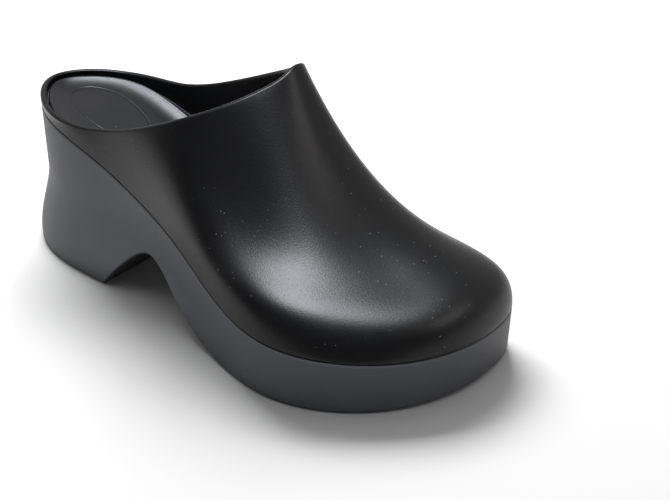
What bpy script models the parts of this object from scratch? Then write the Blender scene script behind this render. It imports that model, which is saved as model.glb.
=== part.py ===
"""Backless platform clog in moulded rubber, a right shoe: upper, sole and insole.

The shoe stands on the floor at z = 0 with its toe towards +X and its inner side
towards +Y. Every form is worked out from the named sizes and from short tables: the
sections of the last, the bends of the upper's wall on its two sides, the heights along
the shoe, the arch, and the slant of the sole's side.
"""
from collections import namedtuple
from math import comb, cos, pi, sin

import bmesh
import bpy
import numpy as np

MM = 0.001

# Driving sizes of the last and the shoe.
LENGTH = 250.5 * MM
BALL_WIDTH = 103.5 * MM
HEEL_WIDTH = 66.0 * MM
INSTEP_HEIGHT = 115.5 * MM
COLLAR_LOW = 74.5 * MM
HEEL_HEIGHT = 73.0 * MM
PLATFORM = 22.5 * MM

# Moulded walls, fits and edges.
WALL = 3.0 * MM
GAP = 0.3 * MM
RIM_RADIUS = WALL / 2
LEVEL_HEIGHT = 4 * WALL
INSOLE_CLEARANCE = 0.7 * MM
INSOLE_INSET = WALL + INSOLE_CLEARANCE
INSOLE_THICK = 4.0 * MM
CUP_RISE = 3.0 * MM
CUP_WIDTH = 10.0 * MM
EDGE_ROUND = 1.0 * MM
EDGE_SHARE = 0.3
CUP_SHARES = (1.0, 0.75, 0.5, 0.25)

# Heel block, arch and tread.
HEEL_DEPTH = 67.0 * MM
HEEL_FLARE = 7.0 * MM
FLARE_START = 0.45
FLARE_SPAN = 0.5
FORE_DRAFT = 0.8 * MM
ARCH_HEIGHT = 25.5 * MM
TREAD_START = 156.0 * MM
TOE_SPRING_START = 222.0 * MM
TOE_SPRING = 1.8 * MM
TREAD_ROUND = 1.4 * MM

# How finely the solids are cut.
STEPS_PER_SECTION = 6
WALL_STEPS = 11
RIM_STEPS = 4
SIDE_STEPS = 8
TOP_STRETCH = 0.1

# Sections of the last from the heel to the toe. x is a share of LENGTH; the outer and
# inner edges of the seam are shares of the width named in the row. The collar's place
# on the same line is given by its x, the shift of its middle (share of BALL_WIDTH),
# its half width (share of HEEL_WIDTH) and its rise on either side from COLLAR_LOW to
# INSTEP_HEIGHT.
Section = namedtuple(
    "Section",
    "name x width outer inner collar_x collar_mid collar_half rise_outer rise_inner")
SECTIONS = (
    Section("heel back", 0.000, HEEL_WIDTH, 0.000, 0.000, 0.006, -0.004, 0.000, 0.055, 0.055),
    Section("heel corner", 0.047, HEEL_WIDTH, -0.288, 0.282, 0.049, -0.010, 0.284, 0.040, 0.045),
    Section("heel seat", 0.142, HEEL_WIDTH, -0.483, 0.462, 0.135, -0.009, 0.475, 0.010, 0.000),
    Section("heel breast", 0.2675, HEEL_WIDTH, -0.520, 0.490, 0.232, -0.002, 0.500, 0.030, 0.020),
    Section("waist", 0.448, BALL_WIDTH, -0.411, 0.328, 0.353, 0.006, 0.535, 0.240, 0.230),
    Section("instep", 0.596, BALL_WIDTH, -0.539, 0.369, 0.443, 0.013, 0.518, 0.470, 0.470),
    Section("ball", 0.740, BALL_WIDTH, -0.611, 0.389, 0.513, 0.030, 0.410, 0.650, 0.680),
    Section("toe joint", 0.883, BALL_WIDTH, -0.482, 0.371, 0.558, 0.050, 0.245, 0.795, 0.850),
    Section("toe corner", 0.975, BALL_WIDTH, -0.205, 0.306, 0.583, 0.062, 0.105, 0.915, 0.960),
    Section("toe tip", 1.000, BALL_WIDTH, 0.097, 0.097, 0.588, 0.065, 0.000, 0.985, 0.985),
)

# Bends of the wall at each section, as shares of the way in from seam to collar and of
# the way up: the wall just over the seam, the shoulder, and the slope of the instep.
Bend = namedtuple("Bend", "wall_in wall_up shoulder_in shoulder_up slope_in slope_up")
OUTER_BENDS = (
    Bend(0.00, 0.30, 0.00, 0.60, 0.00, 0.80),
    Bend(0.00, 0.30, 0.00, 0.61, 0.00, 0.80),
    Bend(0.01, 0.29, 0.02, 0.58, 0.05, 0.78),
    Bend(0.02, 0.24, 0.08, 0.47, 0.19, 0.70),
    Bend(0.04, 0.25, 0.14, 0.36, 0.33, 0.60),
    Bend(0.05, 0.30, 0.20, 0.25, 0.46, 0.50),
    Bend(0.09, 0.36, 0.30, 0.22, 0.63, 0.40),
    Bend(0.13, 0.32, 0.34, 0.18, 0.54, 0.39),
    Bend(0.00, 0.33, 0.32, 0.14, 0.58, 0.34),
    Bend(0.00, 0.37, 0.29, 0.19, 0.65, 0.31),
)
INNER_BENDS = (
    Bend(0.00, 0.30, 0.00, 0.60, 0.00, 0.80),
    Bend(0.00, 0.30, 0.00, 0.61, 0.00, 0.80),
    Bend(0.01, 0.29, 0.02, 0.58, 0.05, 0.78),
    Bend(0.02, 0.24, 0.08, 0.47, 0.19, 0.70),
    Bend(0.04, 0.25, 0.14, 0.35, 0.33, 0.59),
    Bend(0.05, 0.30, 0.27, 0.24, 0.49, 0.49),
    Bend(0.12, 0.34, 0.33, 0.12, 0.62, 0.37),
    Bend(0.12, 0.33, 0.38, 0.13, 0.66, 0.30),
    Bend(0.01, 0.33, 0.32, 0.14, 0.66, 0.31),
    Bend(0.00, 0.37, 0.29, 0.19, 0.65, 0.31),
)

# Heights along the shoe. x is a share of LENGTH, seam a share of the way from PLATFORM
# up to HEEL_HEIGHT, and footbed how far the footbed's flat lies under the seam, as a
# share of INSOLE_THICK.
Height = namedtuple("Height", "x seam footbed")
HEIGHTS = (
    Height(0.00, 1.000, 0.30),
    Height(0.13, 0.935, 0.35),
    Height(0.25, 0.765, 0.85),
    Height(0.37, 0.565, 1.00),
    Height(0.49, 0.395, 0.90),
    Height(0.61, 0.208, 0.60),
    Height(0.73, 0.092, 0.55),
    Height(0.87, 0.040, 0.55),
    Height(1.00, 0.000, 0.50),
)

# The arch under the waist. x is a share of the way from the heel's front edge to the
# start of the tread, and rise a share of ARCH_HEIGHT.
Arch = namedtuple("Arch", "x rise")
ARCH = (
    Arch(0.00, 0.00),
    Arch(0.12, 0.47),
    Arch(0.23, 0.83),
    Arch(0.345, 1.00),
    Arch(0.48, 0.80),
    Arch(0.64, 0.42),
    Arch(0.82, 0.13),
    Arch(1.00, 0.00),
)

# How much of HEEL_FLARE and FORE_DRAFT the sole's side takes at each section.
Side = namedtuple("Side", "flare draft")
SIDES = (
    Side(0.90, 0.0),
    Side(1.00, 0.0),
    Side(0.75, 0.0),
    Side(0.85, 0.0),
    Side(0.45, 0.2),
    Side(0.00, 0.6),
    Side(0.00, 1.0),
    Side(0.00, 1.0),
    Side(0.00, 1.0),
    Side(0.00, 1.0),
)


def rows(table):
    """Return a table as an array of floats, leaving out the rows' names."""
    return np.array([[value for value in row if not isinstance(value, str)] for row in table])


def spline_bends(knots, values, period=None):
    """Return the second slopes of a cubic spline; a period closes it into a loop."""
    count = len(knots)
    spans = np.diff(np.append(knots, knots[0] + period)) if period else np.diff(knots)
    system = np.eye(count)
    right = np.zeros_like(values)
    for here in range(count):
        if not period and here in (0, count - 1):
            continue
        before, after = (here - 1) % count, (here + 1) % count
        back, ahead = spans[before], spans[here]
        system[here] = 0.0
        system[here, before] += back
        system[here, here] += 2.0 * (back + ahead)
        system[here, after] += ahead
        rise = (values[after] - values[here]) / ahead
        right[here] = 6.0 * (rise - (values[here] - values[before]) / back)
    return np.linalg.solve(system, right.reshape(count, -1)).reshape(values.shape)


def spline(knots, values, at, period=None):
    """Return a cubic spline through values, taken at each of the given places."""
    knots, values, at = (np.asarray(item, float) for item in (knots, values, at))
    count = len(knots)
    bends = spline_bends(knots, values, period)
    at = np.mod(at, period) if period else np.clip(at, knots[0], knots[-1])
    last = count - 1 if period else count - 2
    here = np.clip(np.searchsorted(knots, at, side="right") - 1, 0, last)
    after = (here + 1) % count
    ends = np.append(knots, period) if period else knots
    span = ends[here + 1] - knots[here]
    ahead = (at - knots[here]) / span
    left = 1.0 - ahead
    shape = at.shape + (1,) * (values.ndim - 1)
    ahead, left, span = (item.reshape(shape) for item in (ahead, left, span))
    straight = left * values[here] + ahead * values[after]
    curve = (left ** 3 - left) * bends[here] + (ahead ** 3 - ahead) * bends[after]
    return straight + span ** 2 / 6.0 * curve


def smooth_step(share):
    """Return a share eased in and out between 0 and 1."""
    share = np.clip(share, 0.0, 1.0)
    return share * share * (3.0 - 2.0 * share)


def seam_height(x):
    """Return the height of the seam between sole and upper over the floor."""
    table = rows(HEIGHTS)
    share = spline(table[:, 0], table[:, 1], x / LENGTH)
    return PLATFORM + share * (HEEL_HEIGHT - PLATFORM)


def footbed_height(x):
    """Return the height of the flat middle of the footbed."""
    table = rows(HEIGHTS)
    return seam_height(x) - INSOLE_THICK * spline(table[:, 0], table[:, 2], x / LENGTH)


def tread_height(x):
    """Return the height of the sole's underside: heel, arch, tread and toe spring."""
    table = rows(ARCH)
    share = (x - HEEL_DEPTH) / (TREAD_START - HEEL_DEPTH)
    arch = ARCH_HEIGHT * spline(table[:, 0], table[:, 1], share)
    arch = np.where((share > 0.0) & (share < 1.0), np.maximum(arch, 0.0), 0.0)
    spring = np.clip((x - TOE_SPRING_START) / (LENGTH - TOE_SPRING_START), 0.0, 1.0)
    return arch + TOE_SPRING * spring ** 2


def control_rings():
    """Return the five control loops of the upper's outside, from seam to collar."""
    loops = []
    for side, outward, bends in (("outer", -1.0, OUTER_BENDS), ("inner", 1.0, INNER_BENDS)):
        loop = []
        for section, bend in zip(SECTIONS, bends):
            lone = section.collar_half == 0.0
            if lone and side == "inner":
                continue
            seam = np.array([section.x * LENGTH, getattr(section, side) * section.width])
            collar = np.array([
                section.collar_x * LENGTH,
                section.collar_mid * BALL_WIDTH + outward * section.collar_half * HEEL_WIDTH])
            low = seam_height(seam[0]) + GAP / 2
            rise = getattr(section, "rise_" + side)
            high = COLLAR_LOW + rise * (INSTEP_HEIGHT - COLLAR_LOW)
            ways = ((0.0, 0.0), bend[0:2], bend[2:4], bend[4:6], (1.0, 1.0))
            loop.append([(*(seam + inward * (collar - seam)), low + up * (high - low))
                         for inward, up in ways])
        loops.append(loop)
    outer, inner = loops
    return np.array(outer + inner[::-1])


def loop_places(seam, steps):
    """Return the knots of a loop, its period, and steps places in each of its spans."""
    chords = np.linalg.norm(np.roll(seam, -1, axis=0) - seam, axis=1)
    knots = np.concatenate([[0.0], np.cumsum(chords)[:-1]])
    period = chords.sum()
    ends = np.append(knots, period)
    shares = np.arange(steps) / steps
    places = (ends[:-1, None] + shares[None, :] * np.diff(ends)[:, None]).ravel()
    return knots, period, places


def around(values, steps=STEPS_PER_SECTION):
    """Return values given at the sections, spread smoothly all round the shoe."""
    controls = control_rings()
    knots, period, places = loop_places(controls[:, 0, :2], steps)
    return spline(knots, values, places, period)


def both_sides(column):
    """Return a column of one value per section as a loop of values round the shoe."""
    return np.array(list(column) + list(column[-2:0:-1]))


def seam_outline():
    """Return the plan of the seam as a closed loop of points."""
    return around(control_rings()[:, 0, :2])


def outward_normals(outline):
    """Return the unit normals in plan that point out of a closed outline."""
    along = np.roll(outline, -1, axis=0) - np.roll(outline, 1, axis=0)
    normals = np.stack([along[:, 1], -along[:, 0]], axis=1)
    normals /= np.linalg.norm(normals, axis=1)[:, None]
    middle = outline.mean(axis=0)
    facing = np.sign(((outline - middle) * normals).sum())
    return normals * facing


def raised(outline, heights):
    """Return a plan outline lifted to its heights as a ring of 3-D points."""
    return np.column_stack([outline, np.broadcast_to(heights, len(outline))])


def wall_surface(shares):
    """Return the upper's outside at each share of the way from seam to collar.

    The loops are lifted near the seam so that the wall's foot follows its height.
    """
    controls = around(control_rings())
    degree = controls.shape[1] - 1
    weights = np.stack([comb(degree, k) * shares ** k * (1.0 - shares) ** (degree - k)
                        for k in range(degree + 1)], axis=-1)
    grid = np.einsum("tsk,tkc->stc", weights, controls)
    seam = controls[:, 0]
    lift = seam_height(seam[:, 0]) + GAP / 2 - seam[:, 2]
    grid[:, :, 2] += (lift[:, None] * (1.0 - shares) ** 2).T
    return grid


def surface_normals(grid):
    """Return the outward unit normals of a grid of rings that run round the shoe."""
    up = np.gradient(grid, axis=0)
    along = np.roll(grid, -1, axis=1) - np.roll(grid, 1, axis=1)
    normals = np.cross(along, up)
    normals /= np.linalg.norm(normals, axis=2)[:, :, None]
    return normals


def level_near_seam(normals, grid):
    """Return the normals turned level at the seam, where the wall stands on the sole."""
    height = grid[:, :, 2] - grid[0, :, 2]
    normals[:, :, 2] *= smooth_step(height / LEVEL_HEIGHT)
    return normals / np.linalg.norm(normals, axis=2)[:, :, None]


def upper_rings():
    """Return the rings of the upper: up the outside, over the rim and down the inside."""
    places = len(seam_outline())
    ends = wall_surface(np.tile([1.0 - TOP_STRETCH, 1.0], (places, 1)))
    length = np.linalg.norm(ends[1] - ends[0], axis=1) / TOP_STRETCH
    top = 1.0 - RIM_RADIUS / length
    shares = np.linspace(0.0, 1.0, WALL_STEPS + 1)[None, :] * top[:, None]
    outside = wall_surface(shares)
    normals = level_near_seam(surface_normals(outside), outside)
    inside = outside - WALL * normals
    foot = seam_height(inside[0, :, 0]) + GAP / 2
    inside[0, :, 2] = foot
    climb = outside[-1] - outside[-2]
    climb /= np.linalg.norm(climb, axis=1)[:, None]
    middle = outside[-1] - RIM_RADIUS * normals[-1]
    rim = []
    for step in range(1, RIM_STEPS):
        turn = pi * step / RIM_STEPS
        rim.append(middle + RIM_RADIUS * (cos(turn) * normals[-1] + sin(turn) * climb))
    return list(outside) + rim + list(inside[::-1])


def insole_outline():
    """Return the plan of the insole, set in from the seam."""
    seam = seam_outline()
    return seam - INSOLE_INSET * outward_normals(seam)


def insole_rings():
    """Return the rings of the insole from the middle of its top round to its bottom."""
    edge = insole_outline()
    normals = outward_normals(edge)
    top = footbed_height(edge[:, 0]) + CUP_RISE
    bottom = footbed_height(edge[:, 0]) - INSOLE_THICK
    rings = []
    for share in CUP_SHARES:
        inset = edge - normals * (EDGE_ROUND + share * (CUP_WIDTH - EDGE_ROUND))
        flat = footbed_height(inset[:, 0])
        rings.append(raised(inset, flat + CUP_RISE * (1.0 - share) ** 2))
    rings.append(raised(edge - normals * EDGE_ROUND, top))
    cut = EDGE_ROUND * EDGE_SHARE
    rings.append(raised(edge - normals * cut, top - cut))
    rings.append(raised(edge, top - EDGE_ROUND))
    rings.append(raised(edge, bottom))
    return rings


def sole_side(share, height):
    """Return one ring down the sole's side, at a share of the way from seam to tread."""
    seam = seam_outline()
    normals = outward_normals(seam)
    table = rows(SIDES)
    flare = HEEL_FLARE * around(both_sides(table[:, 0]))
    draft = FORE_DRAFT * around(both_sides(table[:, 1]))
    top = seam_height(seam[:, 0]) - GAP / 2
    depth = (top - height) / top
    swell = smooth_step((depth - FLARE_START) / FLARE_SPAN)
    return seam + normals * (flare * swell - draft * depth)[:, None]


def sole_rings():
    """Return the rings of the sole from its recess over the ledge and down its side."""
    seam = seam_outline()
    recess = insole_outline() + GAP * outward_normals(seam)
    floor = footbed_height(recess[:, 0]) - INSOLE_THICK - GAP
    rings = [raised(recess, floor), raised(recess, seam_height(recess[:, 0]) - GAP / 2)]
    top = seam_height(seam[:, 0]) - GAP / 2
    tread = tread_height(seam[:, 0])
    low = tread + TREAD_ROUND
    for share in np.linspace(0.0, 1.0, SIDE_STEPS + 1):
        height = top + share * (low - top)
        rings.append(raised(sole_side(share, height), height))
    for turn in (pi / 4, pi / 2):
        height = tread + TREAD_ROUND * (1.0 - sin(turn))
        outline = sole_side(1.0, height)
        inset = TREAD_ROUND * (1.0 - cos(turn))
        rings.append(raised(outline - inset * outward_normals(outline), height))
    return rings


def join_rings(mesh, rings, looped):
    """Skin a list of rings with quads, closing the last onto the first if looped."""
    made = [[mesh.verts.new(point) for point in ring] for ring in rings]
    count = len(rings[0])
    pairs = list(zip(made, made[1:]))
    if looped:
        pairs.append((made[-1], made[0]))
    for low, high in pairs:
        for here in range(count):
            after = (here + 1) % count
            mesh.faces.new((low[here], low[after], high[after], high[here]))
    return made


def ladder_cap(mesh, ring):
    """Close a ring with strips that cross the shoe from its outer to its inner side."""
    count = len(ring)
    half = count // 2
    mesh.faces.new((ring[0], ring[1], ring[-1]))
    for here in range(1, half - 1):
        mesh.faces.new((ring[here], ring[here + 1], ring[count - here - 1], ring[count - here]))
    mesh.faces.new((ring[half - 1], ring[half], ring[half + 1]))


def material(name, colour, roughness):
    """Return a matt rubber material with one colour."""
    made = bpy.data.materials.new(name)
    made.use_nodes = True
    shader = made.node_tree.nodes["Principled BSDF"]
    shader.inputs["Base Color"].default_value = (*colour, 1.0)
    shader.inputs["Roughness"].default_value = roughness
    shader.inputs["Metallic"].default_value = 0.0
    return made


def solid(name, rings, looped, finish):
    """Build one closed body from its rings and place it over the frame's origin."""
    mesh = bmesh.new()
    made = join_rings(mesh, rings, looped)
    if not looped:
        ladder_cap(mesh, made[0])
        ladder_cap(mesh, made[-1])
    bmesh.ops.recalc_face_normals(mesh, faces=mesh.faces)
    data = bpy.data.meshes.new(name)
    mesh.to_mesh(data)
    mesh.free()
    for face in data.polygons:
        face.use_smooth = True
    data.materials.append(finish)
    made_object = bpy.data.objects.new(name, data)
    made_object.location = -frame_origin()
    bpy.context.scene.collection.objects.link(made_object)
    return made_object


def frame_origin():
    """Return the middle of the shoe's box on the floor, where the frame has its origin."""
    points = np.concatenate(sole_rings() + upper_rings())
    middle = (points.min(axis=0) + points.max(axis=0)) / 2
    return np.array([middle[0], middle[1], 0.0])


def main():
    """Clear the scene and build the shoe."""
    for item in list(bpy.data.objects):
        bpy.data.objects.remove(item, do_unlink=True)
    upper_rubber = material("upper_rubber", (0.012, 0.012, 0.013), 0.42)
    sole_rubber = material("sole_rubber", (0.030, 0.031, 0.034), 0.60)
    footbed_rubber = material("footbed_rubber", (0.016, 0.016, 0.018), 0.50)
    solid("sole", sole_rings(), False, sole_rubber)
    solid("insole", insole_rings(), False, footbed_rubber)
    solid("upper", upper_rings(), True, upper_rubber)


main()
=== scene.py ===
"""Backless platform clog in moulded rubber, a right shoe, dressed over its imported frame.

The upper, the sole and the footbed are built again from the shoe's own sizes, fine enough
to carry the rounded rim, the seam and the tread's edge, and take their rubber finishes.
Everything is in metres, with the toe towards +X and the inner side towards +Y.
"""
from __future__ import annotations

import logging
from collections.abc import Mapping, Sequence
from dataclasses import dataclass, field
from enum import Enum
from math import comb, cos, pi, radians, sin
from typing import Any, Optional, Union

import bpy
import numpy as np
from mathutils import Matrix, Vector


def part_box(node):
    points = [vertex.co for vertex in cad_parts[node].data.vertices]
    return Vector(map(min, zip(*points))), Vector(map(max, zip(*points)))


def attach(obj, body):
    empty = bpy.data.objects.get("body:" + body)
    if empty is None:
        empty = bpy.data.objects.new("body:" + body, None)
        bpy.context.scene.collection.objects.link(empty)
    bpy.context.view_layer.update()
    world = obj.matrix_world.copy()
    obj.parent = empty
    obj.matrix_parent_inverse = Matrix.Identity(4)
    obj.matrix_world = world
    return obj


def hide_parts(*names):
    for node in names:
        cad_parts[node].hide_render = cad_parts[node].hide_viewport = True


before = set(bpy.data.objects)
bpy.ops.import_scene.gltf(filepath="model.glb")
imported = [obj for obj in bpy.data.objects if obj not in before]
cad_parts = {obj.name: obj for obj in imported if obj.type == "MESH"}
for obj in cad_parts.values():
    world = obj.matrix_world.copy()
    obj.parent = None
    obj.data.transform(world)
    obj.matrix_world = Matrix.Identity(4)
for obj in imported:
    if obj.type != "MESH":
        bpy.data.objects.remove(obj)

MM = 0.001
LOG = logging.getLogger("rubber_clog")
Array = np.ndarray
Colour = tuple[float, float, float]


class Side(Enum):
    """The two sides of the last, with the way each lies from its middle line."""

    OUTER = -1.0
    INNER = 1.0


class Relief(Enum):
    """What is moulded into a rubber besides its grain."""

    PLAIN = "plain"
    HEEL_PAD = "heel pad"
    TREAD = "tread"


@dataclass(frozen=True)
class Section:
    """One section of the last, from its seam up to its collar.

    The places of seam and collar are shares of the named widths, each side's bend gives
    the way in and up of the wall, the shoulder and the slope, and the last two fields say
    how much of the heel's flare and of the forefoot's draft the sole takes there.
    """

    name: str
    x: float
    at_heel: bool
    outer: float
    inner: float
    collar_x: float
    collar_mid: float
    collar_half: float
    rise_outer: float
    rise_inner: float
    bend_outer: tuple[float, float, float, float, float, float]
    bend_inner: tuple[float, float, float, float, float, float]
    flare: float
    draft: float


SECTIONS: tuple[Section, ...] = (
    Section("heel back", 0.000, True, 0.000, 0.000, 0.006, -0.004, 0.000, 0.055, 0.055,
            (0.00, 0.30, 0.00, 0.60, 0.00, 0.80), (0.00, 0.30, 0.00, 0.60, 0.00, 0.80), 0.90, 0.0),
    Section("heel corner", 0.047, True, -0.288, 0.282, 0.049, -0.010, 0.284, 0.040, 0.045,
            (0.00, 0.30, 0.00, 0.61, 0.00, 0.80), (0.00, 0.30, 0.00, 0.61, 0.00, 0.80), 1.00, 0.0),
    Section("heel seat", 0.142, True, -0.483, 0.462, 0.135, -0.009, 0.475, 0.010, 0.000,
            (0.01, 0.29, 0.02, 0.58, 0.05, 0.78), (0.01, 0.29, 0.02, 0.58, 0.05, 0.78), 0.75, 0.0),
    Section("heel breast", 0.2675, True, -0.520, 0.490, 0.232, -0.002, 0.500, 0.030, 0.020,
            (0.02, 0.24, 0.08, 0.47, 0.19, 0.70), (0.02, 0.24, 0.08, 0.47, 0.19, 0.70), 0.85, 0.0),
    Section("waist", 0.448, False, -0.411, 0.328, 0.353, 0.006, 0.535, 0.240, 0.230,
            (0.04, 0.25, 0.14, 0.36, 0.33, 0.60), (0.04, 0.25, 0.14, 0.35, 0.33, 0.59), 0.45, 0.2),
    Section("instep", 0.596, False, -0.539, 0.369, 0.443, 0.013, 0.518, 0.470, 0.470,
            (0.05, 0.30, 0.20, 0.25, 0.46, 0.50), (0.05, 0.30, 0.27, 0.24, 0.49, 0.49), 0.00, 0.6),
    Section("ball", 0.740, False, -0.611, 0.389, 0.513, 0.030, 0.410, 0.650, 0.680,
            (0.09, 0.36, 0.30, 0.22, 0.63, 0.40), (0.12, 0.34, 0.33, 0.12, 0.62, 0.37), 0.00, 1.0),
    Section("toe joint", 0.883, False, -0.482, 0.371, 0.558, 0.050, 0.245, 0.795, 0.850,
            (0.13, 0.32, 0.34, 0.18, 0.54, 0.39), (0.12, 0.33, 0.38, 0.13, 0.66, 0.30), 0.00, 1.0),
    Section("toe corner", 0.975, False, -0.205, 0.306, 0.583, 0.062, 0.105, 0.915, 0.960,
            (0.00, 0.33, 0.32, 0.14, 0.58, 0.34), (0.01, 0.33, 0.32, 0.14, 0.66, 0.31), 0.00, 1.0),
    Section("toe tip", 1.000, False, 0.097, 0.097, 0.588, 0.065, 0.000, 0.985, 0.985,
            (0.00, 0.37, 0.29, 0.19, 0.65, 0.31), (0.00, 0.37, 0.29, 0.19, 0.65, 0.31), 0.00, 1.0),
)

# Heights along the shoe: x as a share of the length, the seam as a share of the way from
# the platform up to the heel, and how far the footbed's flat lies under the seam.
SEAM_AND_FOOTBED = (
    (0.00, 1.000, 0.30),
    (0.13, 0.935, 0.35),
    (0.25, 0.765, 0.85),
    (0.37, 0.565, 1.00),
    (0.49, 0.395, 0.90),
    (0.61, 0.208, 0.60),
    (0.73, 0.092, 0.55),
    (0.87, 0.040, 0.55),
    (1.00, 0.000, 0.50),
)

# The arch under the waist, from the heel's front edge to the start of the tread.
ARCH = (
    (0.00, 0.00),
    (0.12, 0.47),
    (0.23, 0.83),
    (0.345, 1.00),
    (0.48, 0.80),
    (0.64, 0.42),
    (0.82, 0.13),
    (1.00, 0.00),
)


class Spline:
    """A cubic spline through a table of values, open or closed into a loop."""

    def __init__(self, knots: Sequence[float], values: Any, period: float = 0.0) -> None:
        """Work out the second slopes at the knots.

        Args:
            knots: The places of the values, rising.
            values: One value, or one row of values, for each knot.
            period: The length of the loop, or 0 for an open spline.
        """
        self.knots = np.asarray(knots, float)
        self.values = np.asarray(values, float)
        self.period = period
        count = len(self.knots)
        self.ends = np.append(self.knots, period) if period else self.knots
        spans = np.diff(np.append(self.knots, self.knots[0] + period)) if period \
            else np.diff(self.knots)
        system = np.eye(count)
        right = np.zeros_like(self.values)
        for here in range(count):
            if not period and here in (0, count - 1):
                continue
            before, after = (here - 1) % count, (here + 1) % count
            back, ahead = spans[before], spans[here]
            system[here] = 0.0
            system[here, before] += back
            system[here, here] += 2.0 * (back + ahead)
            system[here, after] += ahead
            rise = (self.values[after] - self.values[here]) / ahead
            right[here] = 6.0 * (rise - (self.values[here] - self.values[before]) / back)
        bends = np.linalg.solve(system, right.reshape(count, -1))
        self.bends = bends.reshape(self.values.shape)

    def at(self, places: Any) -> Array:
        """Return the spline's values at the given places.

        Args:
            places: One place or an array of them.

        Returns:
            The values there, in the shape of the places.
        """
        at = np.asarray(places, float)
        count = len(self.knots)
        at = np.mod(at, self.period) if self.period \
            else np.clip(at, self.knots[0], self.knots[-1])
        last = count - 1 if self.period else count - 2
        here = np.clip(np.searchsorted(self.knots, at, side="right") - 1, 0, last)
        after = (here + 1) % count
        span = self.ends[here + 1] - self.knots[here]
        ahead = (at - self.knots[here]) / span
        shape = at.shape + (1,) * (self.values.ndim - 1)
        ahead, span = ahead.reshape(shape), span.reshape(shape)
        left = 1.0 - ahead
        straight = left * self.values[here] + ahead * self.values[after]
        curve = (left ** 3 - left) * self.bends[here] + (ahead ** 3 - ahead) * self.bends[after]
        return straight + span ** 2 / 6.0 * curve


def smooth_step(share: Any) -> Array:
    """Return a share eased in and out between 0 and 1."""
    share = np.clip(share, 0.0, 1.0)
    return share * share * (3.0 - 2.0 * share)


def unit(vectors: Array) -> Array:
    """Return the vectors along the last axis at length 1."""
    return vectors / np.linalg.norm(vectors, axis=-1, keepdims=True)


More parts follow.
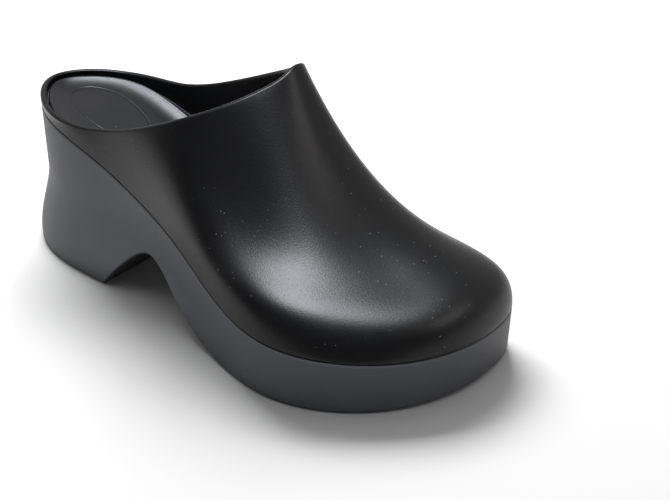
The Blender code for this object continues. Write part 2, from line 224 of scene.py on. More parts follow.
@dataclass
class Last:
    """The last of the shoe: its driving sizes and the surfaces that follow from them."""

    length: float = 250.5 * MM
    ball_width: float = 103.5 * MM
    heel_width: float = 66.0 * MM
    instep_height: float = 115.5 * MM
    collar_low: float = 74.5 * MM
    heel_height: float = 73.0 * MM
    platform: float = 22.5 * MM
    heel_depth: float = 67.0 * MM
    arch_height: float = 25.5 * MM
    tread_start: float = 156.0 * MM
    toe_spring_start: float = 222.0 * MM
    toe_spring: float = 1.8 * MM
    insole_thick: float = 4.0 * MM
    gap: float = 0.3 * MM
    steps: int = 20
    columns: Array = field(init=False)
    seam: Array = field(init=False)
    outward: Array = field(init=False)

    def __post_init__(self) -> None:
        """Work out the height splines and the control loops round the shoe."""
        table = np.array(SEAM_AND_FOOTBED)
        self._seam_share = Spline(table[:, 0], table[:, 1])
        self._bed_share = Spline(table[:, 0], table[:, 2])
        arch = np.array(ARCH)
        self._arch_share = Spline(arch[:, 0], arch[:, 1])
        controls = self._controls()
        plan = controls[:, 0, :2]
        chords = np.linalg.norm(np.roll(plan, -1, axis=0) - plan, axis=1)
        self._knots = np.concatenate([[0.0], np.cumsum(chords)[:-1]])
        self._period = float(chords.sum())
        ends = np.append(self._knots, self._period)
        shares = np.arange(self.steps) / self.steps
        self._places = (ends[:-1, None] + shares[None, :] * np.diff(ends)[:, None]).ravel()
        self.columns = self.around(controls)
        self.seam = self.columns[:, 0, :2]
        self.outward = self.plan_normals(self.seam)

    def _controls(self) -> Array:
        """Work out the control loops of the upper's outside.

        Returns:
            For each place round the shoe, five points from the seam to the collar.
        """
        loops: dict[Side, list[list[tuple[float, float, float]]]] = {side: [] for side in Side}
        for side in Side:
            for section in SECTIONS:
                if section.collar_half == 0.0 and side is Side.INNER:
                    continue
                width = self.heel_width if section.at_heel else self.ball_width
                outer = side is Side.OUTER
                edge = section.outer if outer else section.inner
                rise = section.rise_outer if outer else section.rise_inner
                seam = np.array([section.x * self.length, edge * width])
                collar = np.array([
                    section.collar_x * self.length,
                    section.collar_mid * self.ball_width
                    + side.value * section.collar_half * self.heel_width])
                low = float(self.seam_height(seam[0])) + self.gap / 2
                high = self.collar_low + rise * (self.instep_height - self.collar_low)
                bend = section.bend_outer if outer else section.bend_inner
                ways = ((0.0, 0.0), bend[0:2], bend[2:4], bend[4:6], (1.0, 1.0))
                loops[side].append([(*(seam + way * (collar - seam)), low + up * (high - low))
                                    for way, up in ways])
        return np.array(loops[Side.OUTER] + loops[Side.INNER][::-1])

    def around(self, values: Any) -> Array:
        """Return values given at the control places, spread smoothly round the shoe."""
        return Spline(self._knots, values, self._period).at(self._places)

    def at_sections(self, column: Sequence[float]) -> Array:
        """Return one value per section, the same on both sides, spread round the shoe."""
        return self.around(list(column) + list(column[-2:0:-1]))

    def seam_height(self, x: Any) -> Array:
        """Return the height of the seam between sole and upper over the floor."""
        share = self._seam_share.at(np.asarray(x, float) / self.length)
        return self.platform + share * (self.heel_height - self.platform)

    def footbed_height(self, x: Any) -> Array:
        """Return the height of the flat middle of the footbed."""
        under = self.insole_thick * self._bed_share.at(np.asarray(x, float) / self.length)
        return self.seam_height(x) - under

    def tread_height(self, x: Array) -> Array:
        """Return the height of the underside: heel, arch, tread and toe spring.

        Args:
            x: Places along the shoe, from the back of the heel.

        Returns:
            The height over the floor at each place.
        """
        share = (x - self.heel_depth) / (self.tread_start - self.heel_depth)
        arch = self.arch_height * self._arch_share.at(share)
        arch = np.where((share > 0.0) & (share < 1.0), np.maximum(arch, 0.0), 0.0)
        spring = (x - self.toe_spring_start) / (self.length - self.toe_spring_start)
        return arch + self.toe_spring * np.clip(spring, 0.0, 1.0) ** 2

    def wall(self, shares: Array) -> Array:
        """Return the upper's outside.

        Args:
            shares: For each place round the shoe, the shares of the way from seam to
                collar.

        Returns:
            The points, ring by ring from the seam up.
        """
        degree = self.columns.shape[1] - 1
        weights = np.stack([comb(degree, k) * shares ** k * (1.0 - shares) ** (degree - k)
                            for k in range(degree + 1)], axis=-1)
        grid = np.einsum("tsk,tkc->stc", weights, self.columns)
        lift = self.seam_height(self.seam[:, 0]) + self.gap / 2 - self.columns[:, 0, 2]
        grid[:, :, 2] += (lift[:, None] * (1.0 - shares) ** 2).T
        return grid

    @staticmethod
    def plan_normals(outline: Array) -> Array:
        """Return the unit normals in plan that point out of a closed outline.

        Args:
            outline: The outline's points, in order.

        Returns:
            One normal for each point.
        """
        along = np.roll(outline, -1, axis=0) - np.roll(outline, 1, axis=0)
        normals = unit(np.stack([along[:, 1], -along[:, 0]], axis=1))
        facing = np.sign(((outline - outline.mean(axis=0)) * normals).sum())
        return normals * facing

    @staticmethod
    def normals(grid: Array) -> Array:
        """Return the outward unit normals of a grid of rings that run round the shoe."""
        along = np.roll(grid, -1, axis=1) - np.roll(grid, 1, axis=1)
        return unit(np.cross(along, np.gradient(grid, axis=0)))


def ring(outline: Array, heights: Any) -> Array:
    """Return a plan outline lifted to its heights as a ring of 3-D points."""
    return np.column_stack([outline, np.broadcast_to(heights, len(outline))])


class Skin:
    """A mesh that grows ring by ring, with caps that cross the shoe from side to side."""

    def __init__(self, rings: Sequence[Array], looped: bool) -> None:
        """Join the rings with quads.

        Args:
            rings: Rings of points, all with the same count.
            looped: Whether the last ring is joined to the first.
        """
        self.count = len(rings[0])
        self.points: list[Array] = [np.concatenate(rings)]
        self.faces: list[tuple[int, ...]] = []
        self.rings = len(rings)
        self.size = self.count * self.rings
        pairs = [(low, low + 1) for low in range(self.rings - 1)]
        if looped:
            pairs.append((self.rings - 1, 0))
        for low, high in pairs:
            for here in range(self.count):
                after = (here + 1) % self.count
                self.faces.append((low * self.count + here, low * self.count + after,
                                   high * self.count + after, high * self.count + here))

    def cap(self, place: int, columns: int, height: Any, downward: bool) -> None:
        """Close one ring with rows of quads that cross the shoe.

        Args:
            place: The number of the ring.
            columns: How many quads lie side by side in a row.
            height: A function from the plan points to their heights.
            downward: Whether the cap faces the floor.
        """
        start = place * self.count
        edge = self.points[0][start:start + self.count]
        half = self.count // 2
        shares = np.linspace(0.0, 1.0, columns + 1)[1:-1]
        rows: list[list[int]] = []
        for here in range(1, half):
            far = self.count - here
            between = edge[here] + shares[:, None] * (edge[far] - edge[here])
            between[:, 2] = height(between[:, :2])
            self.points.append(between)
            inner = list(range(self.size, self.size + len(between)))
            self.size += len(between)
            rows.append([start + here, *inner, start + far])
        faces = [(start, rows[0][step], rows[0][step + 1]) for step in range(columns)]
        for low, high in zip(rows, rows[1:]):
            faces += [(low[step], high[step], high[step + 1], low[step + 1])
                      for step in range(columns)]
        faces += [(rows[-1][step], start + half, rows[-1][step + 1]) for step in range(columns)]
        self.faces += [face[::-1] for face in faces] if downward else faces

    def object(self, name: str, shift: Array, crease: float) -> bpy.types.Object:
        """Make the skin an object in the scene.

        Args:
            name: The piece's name.
            shift: What to add to every point.
            crease: The angle, in radians, past which an edge stays sharp.

        Returns:
            The new object.
        """
        mesh = bpy.data.meshes.new(name)
        mesh.from_pydata((np.concatenate(self.points) + shift).tolist(), [], self.faces)
        mesh.validate()
        mesh.shade_smooth()
        mesh.set_sharp_from_angle(angle=crease)
        made = bpy.data.objects.new(name, mesh)
        bpy.context.scene.collection.objects.link(made)
        return made


Source = Union["Field", float, int, Sequence[float]]


class Field:
    """A socket's value in a material, which can be used in expressions."""

    MATHS = {"+": "ADD", "-": "SUBTRACT", "*": "MULTIPLY", "/": "DIVIDE", "**": "POWER"}

    def __init__(self, graph: "Graph", socket: bpy.types.NodeSocket) -> None:
        """Hold a socket of the given tree."""
        self.graph = graph
        self.socket = socket

    def _work(self, sign: str, first: Source, second: Source) -> "Field":
        """Add the node of a sum, product or other operation on two sources.

        Args:
            sign: The operation's sign.
            first: What stands before the sign.
            second: What stands after it.

        Returns:
            The result as a field.
        """
        kind = self.socket.type
        operation = self.MATHS[sign]
        if kind == "RGBA":
            return self.graph.node("ShaderNodeMix", {"data_type": "RGBA", "blend_type": operation},
                                   {"Factor": 1.0, "A": first, "B": second})
        name = "ShaderNodeVectorMath" if kind == "VECTOR" else "ShaderNodeMath"
        return self.graph.node(name, {"operation": operation}, {0: first, 1: second})

    def __add__(self, other: Source) -> "Field":
        """Return the sum."""
        return self._work("+", self, other)

    def __radd__(self, other: Source) -> "Field":
        """Return the sum."""
        return self._work("+", other, self)

    def __sub__(self, other: Source) -> "Field":
        """Return the difference."""
        return self._work("-", self, other)

    def __rsub__(self, other: Source) -> "Field":
        """Return the difference, the other way round."""
        return self._work("-", other, self)

    def __mul__(self, other: Source) -> "Field":
        """Return the product."""
        return self._work("*", self, other)

    def __rmul__(self, other: Source) -> "Field":
        """Return the product."""
        return self._work("*", other, self)

    def __truediv__(self, other: Source) -> "Field":
        """Return the quotient."""
        return self._work("/", self, other)

    def __rtruediv__(self, other: Source) -> "Field":
        """Return the quotient, the other way round."""
        return self._work("/", other, self)

    def __pow__(self, other: Source) -> "Field":
        """Return the power."""
        return self._work("**", self, other)

    def eased(self, low: float, high: float) -> "Field":
        """Return 0 below low, 1 above high, and a smooth way between them."""
        return self.graph.node(
            "ShaderNodeMapRange", {"interpolation_type": "SMOOTHSTEP"},
            {"Value": self, "From Min": low, "From Max": high, "To Min": 0.0, "To Max": 1.0})

    def sine(self) -> "Field":
        """Return the sine of a value in radians."""
        return self.graph.node("ShaderNodeMath", {"operation": "SINE"}, {0: self})

    def size(self) -> "Field":
        """Return the value without its sign."""
        return self.graph.node("ShaderNodeMath", {"operation": "ABSOLUTE"}, {0: self})


class Graph:
    """A node tree on its way to being built."""

    def __init__(self, tree: bpy.types.NodeTree) -> None:
        """Hold the tree."""
        self.tree = tree

    def node(self, kind: str, settings: Optional[Mapping[str, Any]] = None,
             inputs: Optional[Mapping[Union[str, int], Source]] = None,
             output: Union[str, int] = 0) -> Field:
        """Add a node.

        Args:
            kind: The node's type.
            settings: Its settings, which are set first.
            inputs: The value or link of each socket, by name or number.
            output: Which of its outputs to return, by name or number.

        Returns:
            That output as a field.
        """
        made = self.tree.nodes.new(kind)
        for name, value in (settings or {}).items():
            setattr(made, name, value)
        for name, value in (inputs or {}).items():
            self.feed(self._pick(made.inputs, name), value)
        return Field(self, self._pick(made.outputs, output))

    @staticmethod
    def _pick(sockets: Any, name: Union[str, int]) -> bpy.types.NodeSocket:
        """Find a socket among those in use.

        Args:
            sockets: A node's inputs or outputs.
            name: The socket's name, or its number among those in use.

        Returns:
            The socket.
        """
        used = [socket for socket in sockets if socket.enabled]
        if isinstance(name, int):
            return used[name]
        return next(socket for socket in used if socket.name == name)

    def feed(self, socket: bpy.types.NodeSocket, value: Source) -> None:
        """Link a field to a socket, or set the socket to a plain value.

        Args:
            socket: The input to feed.
            value: The field, number, vector or colour that goes in.
        """
        if isinstance(value, Field):
            self.tree.links.new(value.socket, socket)
        elif socket.type == "RGBA" and not isinstance(value, (int, float)):
            socket.default_value = (*value, 1.0) if len(value) == 3 else value
        elif socket.type == "RGBA":
            socket.default_value = (value, value, value, 1.0)
        elif socket.type == "VECTOR" and isinstance(value, (int, float)):
            socket.default_value = (value, value, value)
        else:
            socket.default_value = value

    def parts(self, vector: Field) -> tuple[Field, Field, Field]:
        """Return the three coordinates of a vector."""
        first = self.node("ShaderNodeSeparateXYZ", inputs={"Vector": vector})
        return tuple(Field(self, socket) for socket in first.socket.node.outputs)


class Paint(Graph):
    """A material on its way to being built."""

    def __init__(self, name: str) -> None:
        """Start a material with its shader and the place of a point on the shoe.

        Args:
            name: The material's name.
        """
        self.material = bpy.data.materials.new(name)
        self.material.use_nodes = True
        super().__init__(self.material.node_tree)
        self.shader = self.tree.nodes["Principled BSDF"]
        self.place = self.node("ShaderNodeTexCoord", output="Object")

    def noise(self, size: float, detail: float = 2.0, roughness: float = 0.5,
              shift: float = 0.0) -> Field:
        """Return cloudy noise between 0 and 1.

        Args:
            size: How large its clouds are, in metres.
            detail: How many finer layers it has.
            roughness: How strong the finer layers are.
            shift: Moves the pattern, so that two noises differ.

        Returns:
            The noise as a value.
        """
        return self.node("ShaderNodeTexNoise", {"noise_dimensions": "4D"},
                         {"Vector": self.place, "W": shift, "Scale": 1.0 / size,
                          "Detail": detail, "Roughness": roughness})

    def specks(self, spacing: float, size: float, shift: float = 0.0,
               core: float = 0.4) -> Field:
        """Return round specks, about one in each cell of space.

        Args:
            spacing: How large the cells are, in metres.
            size: How far a speck reaches from its middle, in metres.
            shift: Moves the pattern, in metres.
            core: The share of a speck that isn't faded.

        Returns:
            A value of 1 in the middle of a speck and 0 between the specks.
        """
        moved = self.place + (shift, shift, shift)
        distance = self.node("ShaderNodeTexVoronoi", {"feature": "F1"},
                             {"Vector": moved, "Scale": 1.0 / spacing}, output="Distance")
        return 1.0 - distance.eased(core * size / spacing, size / spacing)

    def mix(self, share: Source, first: Source, second: Source) -> Field:
        """Return a colour on the way from the first to the second."""
        return self.node("ShaderNodeMix", {"data_type": "RGBA", "blend_type": "MIX"},
                         {"Factor": share, "A": first, "B": second})

    def facing_down(self, low: float = 0.80, high: float = 0.95) -> Field:
        """Tell where the surface faces the floor.

        Args:
            low: The cosine to straight down at which it starts to count.
            high: The cosine at which it counts in full.

        Returns:
            A value of 1 where it faces the floor, and 0 on the sides.
        """
        normal = self.node("ShaderNodeNewGeometry", output="Normal")
        down = self.node("ShaderNodeVectorMath", {"operation": "DOT_PRODUCT"},
                         {0: normal, 1: (0.0, 0.0, -1.0)}, output="Value")
        return down.eased(low, high)


@dataclass(frozen=True)
class Rubber:
    """A black moulded rubber: its colour, gloss and grain, and what has settled on it."""

    name: str
    deep: Colour
    pale: Colour
    roughness: float
    roughness_spread: float
    specular: float
    grain_size: float
    grain_height: float
    sway_height: float
    dust: float
    relief: Relief = Relief.PLAIN
    dust_colour: Colour = (0.34, 0.34, 0.35)
    sway_size: float = 30.0 * MM
    cloud_size: float = 45.0 * MM
    dust_spacing: float = 3.4 * MM
    dust_size: float = 0.38 * MM
    dust_cloud: tuple[float, float] = (0.42, 0.62)
    dust_roughness: float = 0.25
    pit_spacing: float = 1.6 * MM
    pit_size: float = 0.30 * MM
    pit_depth: float = 0.35
    tone_cloud: tuple[float, float] = (0.3, 0.7)
    rub_size: float = 12.0 * MM
    grain_gloss: float = 1.5

    def dress(self) -> bpy.types.Material:
        """Build the finish as a material.

        Returns:
            The material, with its colour, roughness and relief.
        """
        paint = Paint(self.name)
        shader = paint.shader.inputs
        shader["Metallic"].default_value = 0.0
        shader["Specular IOR Level"].default_value = self.specular
        clouds = paint.noise(self.cloud_size, detail=4.0, roughness=0.6)
        thin = paint.noise(self.cloud_size, detail=1.0, shift=7.0)
        specks = paint.specks(self.dust_spacing, self.dust_size)
        dust = specks * thin.eased(*self.dust_cloud) * self.dust
        colour = paint.mix(clouds.eased(*self.tone_cloud), self.deep, self.pale)
        paint.feed(shader["Base Color"], paint.mix(dust, colour, self.dust_colour))
        rubbed = paint.noise(self.rub_size, detail=3.0, shift=3.0) - 0.5
        smear = clouds - 0.5
        grain = paint.noise(self.grain_size, detail=3.0, roughness=0.65)
        uneven = rubbed + smear + self.grain_gloss * (grain - 0.5)
        rough = self.roughness + self.roughness_spread * uneven + self.dust_roughness * dust
        paint.feed(shader["Roughness"], rough)
        sway = paint.noise(self.sway_size, detail=1.0, shift=11.0)
        pits = paint.specks(self.pit_spacing, self.pit_size, shift=5.0)
        height = self.grain_height * (grain - self.pit_depth * pits) + self.sway_height * sway
        paint.feed(shader["Normal"], self._normal(paint, height + self._moulded(paint)))
        return paint.material

    def _moulded(self, paint: Paint) -> Source:
        """Return the height of what is moulded into the rubber.

        Args:
            paint: The material that it goes into.

        Returns:
            The height in metres, below 0 in a groove.
        """
        if self.relief is Relief.TREAD:
            return Tread().height(paint)
        if self.relief is Relief.HEEL_PAD:
            return HeelPad().height(paint)
        return 0.0

    @staticmethod
    def _normal(paint: Paint, height: Field) -> Field:
        """Return the normal that a height, in metres, gives the surface."""
        return paint.node("ShaderNodeBump", {},
                          {"Strength": 1.0, "Distance": 1.0, "Height": height})


@dataclass(frozen=True)
class Tread:
    """Fine waved grooves across the sole's underside."""

    pitch: float = 5.0 * MM
    wave_length: float = 16.0 * MM
    wave: float = 1.2 * MM
    depth: float = 0.5 * MM
    groove_start: float = 0.45
    groove_full: float = 0.85

    def height(self, paint: Paint) -> Field:
        """Return the height of the grooves, which lie only where the sole faces down.

        Args:
            paint: The material that they go into.

        Returns:
            The height in metres, below 0 in a groove.
        """
        x, y, _ = paint.parts(paint.place)
        waved = x + self.wave * (y * (2.0 * pi / self.wave_length)).sine()
        swing = (waved * (2.0 * pi / self.pitch)).sine()
        return -self.depth * swing.eased(self.groove_start, self.groove_full) * paint.facing_down()


@dataclass(frozen=True)
class HeelPad:
    """A faint oval line moulded round the heel's rest on the footbed."""

    middle: tuple[float, float] = (-84.0 * MM, 12.0 * MM)
    half_length: float = 24.0 * MM
    half_width: float = 13.5 * MM
    turn: float = radians(-4.0)
    line: float = 0.45 * MM
    line_core: float = 0.3
    depth: float = 0.12 * MM

    def height(self, paint: Paint) -> Field:
        """Return the height of the line, a shallow groove on the oval.

        Args:
            paint: The material that it goes into.

        Returns:
            The height in metres, below 0 on the line.
        """
        x, y, _ = paint.parts(paint.place)
        along = (x - self.middle[0]) * cos(self.turn) + (y - self.middle[1]) * sin(self.turn)
        across = (y - self.middle[1]) * cos(self.turn) - (x - self.middle[0]) * sin(self.turn)
        reach = ((along / self.half_length) ** 2.0 + (across / self.half_width) ** 2.0) ** 0.5
        away = (reach - 1.0).size() * self.half_width
        return -self.depth * (1.0 - away.eased(self.line_core * self.line, self.line))


@dataclass
class Piece:
    """One moulded piece of the shoe, which stands for the frame's node of the same form."""

    last: Last
    shift: Array
    finish: Rubber
    node: str
    slot: str
    crease: float = radians(40.0)

    def skin(self) -> Skin:
        """Return the piece's mesh on its way to being built."""
        raise NotImplementedError

    def build(self) -> bpy.types.Object:
        """Build the piece, dress it and put it in the node's place.

        Returns:
            The finished object.
        """
        made = self.skin().object(self.node + "_moulded", self.shift, self.crease)
        made.data.materials.append(self.finish.dress())
        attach(made, "root")
        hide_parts(self.node)
        return made


@dataclass
class Upper(Piece):
    """The upper: a thin moulded wall, open at the collar and underneath."""

    wall: float = 3.0 * MM
    foot_round: float = 0.8 * MM
    level_height: float = 12.0 * MM
    wall_steps: int = 64
    rim_steps: int = 12
    foot_steps: int = 4
    speed_step: float = 0.01

    def skin(self) -> Skin:
        """Build the wall up the outside, over the rim and down the inside.

        Returns:
            The wall as one closed loop of rings.
        """
        last = self.last
        step = self.speed_step
        ends = last.wall(np.tile([0.0, step, 1.0 - step, 1.0], (len(last.seam), 1)))
        foot_speed = np.linalg.norm(ends[1] - ends[0], axis=1) / step
        top_speed = np.linalg.norm(ends[3] - ends[2], axis=1) / step
        start = self.foot_round / foot_speed
        top = 1.0 - self.wall / 2 / top_speed
        turns = np.linspace(0.0, pi / 2, self.foot_steps + 1)[:-1]
        foot = (1.0 - np.cos(turns))[None, :] * start[:, None]
        climb = np.linspace(0.0, 1.0, self.wall_steps + 1)[None, :]
        shares = np.hstack([foot, start[:, None] + climb * (top - start)[:, None]])
        outside = last.wall(shares)
        normals = self._levelled(last.normals(outside), outside)
        inside = outside - self.wall * normals
        inside[0, :, 2] = last.seam_height(inside[0, :, 0]) + last.gap / 2
        tuck = np.zeros(len(outside))
        tuck[:len(turns)] = self.foot_round * (1.0 - np.sin(turns))
        shell = outside - tuck[:, None, None] * normals
        up = unit(outside[-1] - outside[-2])
        radius = self.wall / 2
        middle = outside[-1] - radius * normals[-1]
        rim = [middle + radius * (cos(turn) * normals[-1] + sin(turn) * up)
               for turn in np.linspace(0.0, pi, self.rim_steps + 1)[1:-1]]
        return Skin([*shell, *rim, *inside[::-1]], looped=True)

    def _levelled(self, normals: Array, grid: Array) -> Array:
        """Turn the normals level at the seam, where the wall stands on the sole.

        Args:
            normals: The normals, which are changed.
            grid: The points they belong to.

        Returns:
            The normals at length 1.
        """
        height = grid[:, :, 2] - grid[0, :, 2]
        normals[:, :, 2] *= smooth_step(height / self.level_height)
        return unit(normals)


@dataclass
class Sole(Piece):
    """The sole: platform, arch and flared heel block, with the footbed's recess on top."""

    heel_flare: float = 7.0 * MM
    fore_draft: float = 0.8 * MM
    tread_round: float = 1.4 * MM
    ledge_round: float = 1.1 * MM
    insole_inset: float = 3.7 * MM
    side_steps: int = 48
    round_steps: int = 6
    flare_start: float = 0.45
    flare_span: float = 0.50
    cap_columns: int = 2

    def outline(self, height: Array) -> Array:
        """Return the plan of the sole's side.

        Args:
            height: The height over the floor at each place round the shoe.

        Returns:
            The plan points at those heights.
        """
        last = self.last
        flare = self.heel_flare * last.at_sections([section.flare for section in SECTIONS])
        draft = self.fore_draft * last.at_sections([section.draft for section in SECTIONS])
        top = last.seam_height(last.seam[:, 0]) - last.gap / 2
        depth = (top - height) / top
        swell = smooth_step((depth - self.flare_start) / self.flare_span)
        return last.seam + last.outward * (flare * swell - draft * depth)[:, None]

    def rings(self) -> list[Array]:
        """Work out the rings from the recess over the ledge and down the side.

        Returns:
            The rings of points, in that order.
        """
        last = self.last
        seam, outward = last.seam, last.outward
        recess = seam - (self.insole_inset - last.gap) * outward
        floor = last.footbed_height(recess[:, 0]) - last.insole_thick - last.gap
        rings = [ring(recess, floor),
                 ring(recess, last.seam_height(recess[:, 0]) - last.gap / 2)]
        top = last.seam_height(seam[:, 0]) - last.gap / 2
        low = last.tread_height(seam[:, 0]) + self.tread_round
        for turn in np.linspace(0.0, pi / 2, self.round_steps + 1)[:-1]:
            inset = self.ledge_round * (1.0 - sin(turn))
            height = top - self.ledge_round * (1.0 - cos(turn))
            rings.append(ring(self.outline(height) - inset * outward, height))
        start = top - self.ledge_round
        for share in np.linspace(0.0, 1.0, self.side_steps + 1):
            height = start + share * (low - start)
            rings.append(ring(self.outline(height), height))
        for turn in np.linspace(0.0, pi / 2, self.round_steps + 1)[1:]:
            height = low - self.tread_round * sin(turn)
            outline = self.outline(height)
            inset = self.tread_round * (1.0 - cos(turn))
            rings.append(ring(outline - inset * last.plan_normals(outline), height))
        return rings

    def skin(self) -> Skin:
        """Build the sole's side with the recess's floor and the underside.

        Returns:
            The sole as one closed skin.
        """
        rings = self.rings()
        last = self.last
        made = Skin(rings, looped=False)
        made.cap(0, self.cap_columns, lambda plan: last.footbed_height(plan[:, 0])
                 - last.insole_thick - last.gap, downward=False)
        made.cap(len(rings) - 1, self.cap_columns,
                 lambda plan: last.tread_height(plan[:, 0]), downward=True)
        return made


@dataclass
class Footbed(Piece):
    """The footbed: a thin moulded insole with a raised edge, set inside the wall."""

    insole_inset: float = 3.7 * MM
    cup_rise: float = 3.0 * MM
    cup_width: float = 10.0 * MM
    edge_round: float = 1.0 * MM
    cup_steps: int = 14
    round_steps: int = 5
    cross_steps: int = 40
    under_steps: int = 2

    def skin(self) -> Skin:
        """Build the insole's middle, its raised edge and its underside.

        Returns:
            The insole as one closed skin.
        """
        last = self.last
        edge = last.seam - self.insole_inset * last.outward
        normals = last.plan_normals(edge)
        flat_edge = last.footbed_height(edge[:, 0])
        top, bottom = flat_edge + self.cup_rise, flat_edge - last.insole_thick
        rings: list[Array] = []
        for share in np.linspace(1.0, 0.0, self.cup_steps + 1):
            inset = self.edge_round + share * (self.cup_width - self.edge_round)
            plan = edge - normals * inset
            rise = self.cup_rise * (1.0 - share) ** 2
            rings.append(ring(plan, last.footbed_height(plan[:, 0]) + rise))
        for turn in np.linspace(0.0, pi / 2, self.round_steps + 1)[1:]:
            inset = self.edge_round * (1.0 - sin(turn))
            rings.append(ring(edge - normals * inset,
                              top - self.edge_round * (1.0 - cos(turn))))
        rings.append(ring(edge, bottom))
        made = Skin(rings, looped=False)
        made.cap(0, self.cross_steps, lambda plan: last.footbed_height(plan[:, 0]),
                 downward=False)
        made.cap(len(rings) - 1, self.under_steps,
                 lambda plan: last.footbed_height(plan[:, 0]) - last.insole_thick,
                 downward=True)
        return made


@dataclass
class Clog:
    """The whole shoe: upper, sole and footbed on one last."""

    last: Last = field(default_factory=Last)

    UPPER_RUBBER = Rubber("upper_rubber", (0.0030, 0.0030, 0.0033), (0.0045, 0.0045, 0.0050),
                          roughness=0.33, roughness_spread=0.05, specular=0.26,
                          grain_size=0.8 * MM, grain_height=0.045 * MM,
                          sway_height=0.10 * MM, dust=0.22)
    SOLE_RUBBER = Rubber("sole_rubber", (0.051, 0.053, 0.0595), (0.062, 0.0645, 0.0715),
                         roughness=0.54, roughness_spread=0.08, specular=0.5,
                         grain_size=0.8 * MM, grain_height=0.045 * MM,
                         sway_height=0.10 * MM, dust=0.15, relief=Relief.TREAD)
    FOOTBED_RUBBER = Rubber("footbed_rubber", (0.006, 0.006, 0.0066), (0.009, 0.009, 0.0099),
                            roughness=0.34, roughness_spread=0.08, specular=0.42,
                            grain_size=0.8 * MM, grain_height=0.045 * MM,
                            sway_height=0.12 * MM, dust=0.45, relief=Relief.HEEL_PAD)

    def build(self) -> list[bpy.types.Object]:
        """Build the three pieces in the frame's own place.

        Returns:
            The objects, from the sole up.
        """
        shift = self._shift()
        return [
            Sole(self.last, shift, self.SOLE_RUBBER, "sole", "sole_rubber").build(),
            Footbed(self.last, shift, self.FOOTBED_RUBBER, "insole", "footbed_rubber").build(),
            Upper(self.last, shift, self.UPPER_RUBBER, "upper", "upper_rubber").build(),
        ]

    def _shift(self) -> Array:
        """Find the way from the last's own origin to the frame's, read off the sole.

        Returns:
            What to add to every point.
        """
        low, high = (np.array(corner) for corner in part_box("sole"))
        points = np.concatenate(
            Sole(self.last, np.zeros(3), self.SOLE_RUBBER, "sole", "sole_rubber").rings())
        middle = (points.min(axis=0) + points.max(axis=0)) / 2
        shift = (low + high) / 2 - middle
        shift[2] = 0.0
        return shift


@dataclass(frozen=True)
class Panel:
    """A soft studio lamp: a flat panel that lights either the shoe or the floor."""

    name: str
    middle: tuple[float, float, float]
    aim: tuple[float, float, float]
    turn: float
    length: float
    width: float
    power: float
    on_floor: bool
    colour: Colour = (1.0, 1.0, 1.0)

    def hang(self, lit: Sequence[bpy.types.Object]) -> bpy.types.Object:
        """Hang the panel with its length along the direction of its turn.

        Args:
            lit: The objects that the panel lights.

        Returns:
            The lamp.
        """
        light = bpy.data.lights.new(self.name, "AREA")
        light.shape = "RECTANGLE"
        light.size, light.size_y = self.length, self.width
        light.energy = self.power
        light.color = self.colour
        lamp = bpy.data.objects.new(self.name, light)
        back = (Vector(self.middle) - Vector(self.aim)).normalized()
        side = back.cross(Vector((cos(self.turn), sin(self.turn), 0.0))).normalized()
        turned = Matrix((side.cross(back), side, back)).transposed()
        lamp.matrix_world = Matrix.Translation(Vector(self.middle)) @ turned.to_4x4()
        bpy.context.scene.collection.objects.link(lamp)
        group = bpy.data.collections.new(self.name + "_lit")
        for item in lit:
            group.objects.link(item)
        lamp.light_linking.receiver_collection = group
        return lamp


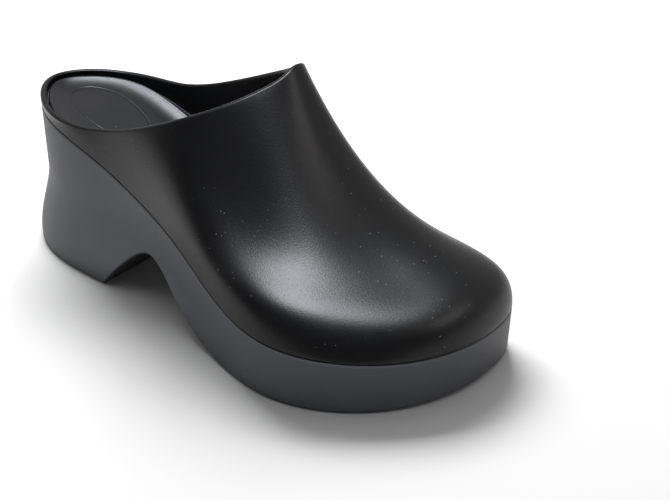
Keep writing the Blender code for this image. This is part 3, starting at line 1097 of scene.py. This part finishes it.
@dataclass
class Studio:
    """The plain pale floor and the soft light round the shoe."""

    floor_half: float = 6.0
    floor_colour: Colour = (0.80, 0.80, 0.80)
    floor_roughness: float = 0.9
    floor_specular: float = 0.2
    backdrop: float = 0.90
    bright_side: float = 0.52
    dim_side: float = 0.05
    dim_azimuth: float = radians(-73.0)
    dim_start: float = 0.05
    dim_full: float = 0.60
    lamps: tuple[Panel, ...] = (
        Panel("overhead_box", (0.05, -0.11, 1.2), (0.05, -0.11, 0.0), radians(-54.0),
              0.54, 0.40, 23.0, on_floor=False, colour=(0.95, 0.99, 1.06)),
        Panel("vamp_panel", (0.92, 0.19, 0.82), (0.0, 0.0, 0.05), radians(12.0),
              0.45, 0.55, 1.9, on_floor=False, colour=(1.0, 0.91, 0.84)),
        Panel("back_panel", (-0.62, 0.50, 1.00), (0.0, 0.0, 0.0), radians(50.0),
              0.80, 0.50, 24.0, on_floor=True),
    )

    def build(self, shoe: Sequence[bpy.types.Object]) -> None:
        """Lay the floor, light the room and hang the lamps.

        Args:
            shoe: The pieces of the shoe, which every lamp but the floor's own lights.
        """
        floor = self._floor()
        world = bpy.data.worlds.new("pale_room")
        world.use_nodes = True
        graph = Graph(world.node_tree)
        way = graph.node("ShaderNodeTexCoord", output="Generated")
        dim = graph.node("ShaderNodeVectorMath", {"operation": "DOT_PRODUCT"},
                         {0: way, 1: (cos(self.dim_azimuth), sin(self.dim_azimuth), 0.0)},
                         output="Value").eased(self.dim_start, self.dim_full)
        room = self.bright_side + (self.dim_side - self.bright_side) * dim
        seen = graph.node("ShaderNodeLightPath", output="Is Camera Ray")
        light = room + seen * (self.backdrop - room)
        background = world.node_tree.nodes["Background"].inputs
        background["Color"].default_value = (1.0, 1.0, 1.0, 1.0)
        graph.feed(background["Strength"], light)
        bpy.context.scene.world = world
        bpy.context.scene.view_settings.view_transform = "Standard"
        for lamp in self.lamps:
            lamp.hang([floor] if lamp.on_floor else shoe)
            LOG.info("%s hung", lamp.name)

    def _floor(self) -> bpy.types.Object:
        """Lay the pale floor under the shoe.

        Returns:
            The floor.
        """
        half = self.floor_half
        mesh = bpy.data.meshes.new("pale_floor")
        mesh.from_pydata([(-half, -half, 0.0), (half, -half, 0.0), (half, half, 0.0),
                          (-half, half, 0.0)], [], [(0, 1, 2, 3)])
        floor = bpy.data.objects.new("pale_floor", mesh)
        bpy.context.scene.collection.objects.link(floor)
        paint = Paint("pale_floor")
        shader = paint.shader.inputs
        shader["Base Color"].default_value = (*self.floor_colour, 1.0)
        shader["Roughness"].default_value = self.floor_roughness
        shader["Specular IOR Level"].default_value = self.floor_specular
        mesh.materials.append(paint.material)
        return floor


@dataclass(frozen=True)
class Viewpoint:
    """The camera, set by its directions and its distance from a point on the shoe."""

    azimuth: float = 0.6490
    elevation: float = 0.5240
    target: tuple[float, float, float] = (52.74 * MM, 9.93 * MM, 40.0 * MM)
    distance: float = 558.9 * MM
    lens: float = 69.39
    sensor: float = 36.0
    shift: tuple[float, float] = (-0.0007, -0.0042)
    nearest: float = 10.0 * MM
    farthest: float = 100.0

    def place(self) -> bpy.types.Object:
        """Create the camera and make it the scene's.

        Returns:
            The camera.
        """
        data = bpy.data.cameras.new("studio_camera")
        data.lens, data.sensor_width = self.lens, self.sensor
        data.shift_x, data.shift_y = self.shift
        data.clip_start, data.clip_end = self.nearest, self.farthest
        camera = bpy.data.objects.new("studio_camera", data)
        right = Vector((cos(self.azimuth), sin(self.azimuth), 0.0))
        ahead = Vector((-sin(self.azimuth) * cos(self.elevation),
                        cos(self.azimuth) * cos(self.elevation), -sin(self.elevation)))
        turn = Matrix((right, right.cross(ahead), -ahead)).transposed()
        camera.matrix_world = Matrix.Translation(
            Vector(self.target) - self.distance * ahead) @ turn.to_4x4()
        bpy.context.scene.collection.objects.link(camera)
        bpy.context.scene.camera = camera
        return camera


def main() -> None:
    """Build the camera, the shoe and the studio, and log the faces of each piece."""
    logging.basicConfig(level=logging.INFO, format="%(name)s: %(message)s")
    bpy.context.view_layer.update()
    Viewpoint().place()
    shoe = Clog().build()
    for piece in shoe:
        LOG.info("%s: %d faces", piece.name, len(piece.data.polygons))
    Studio().build(shoe)


if __name__ == "__main__":
    main()
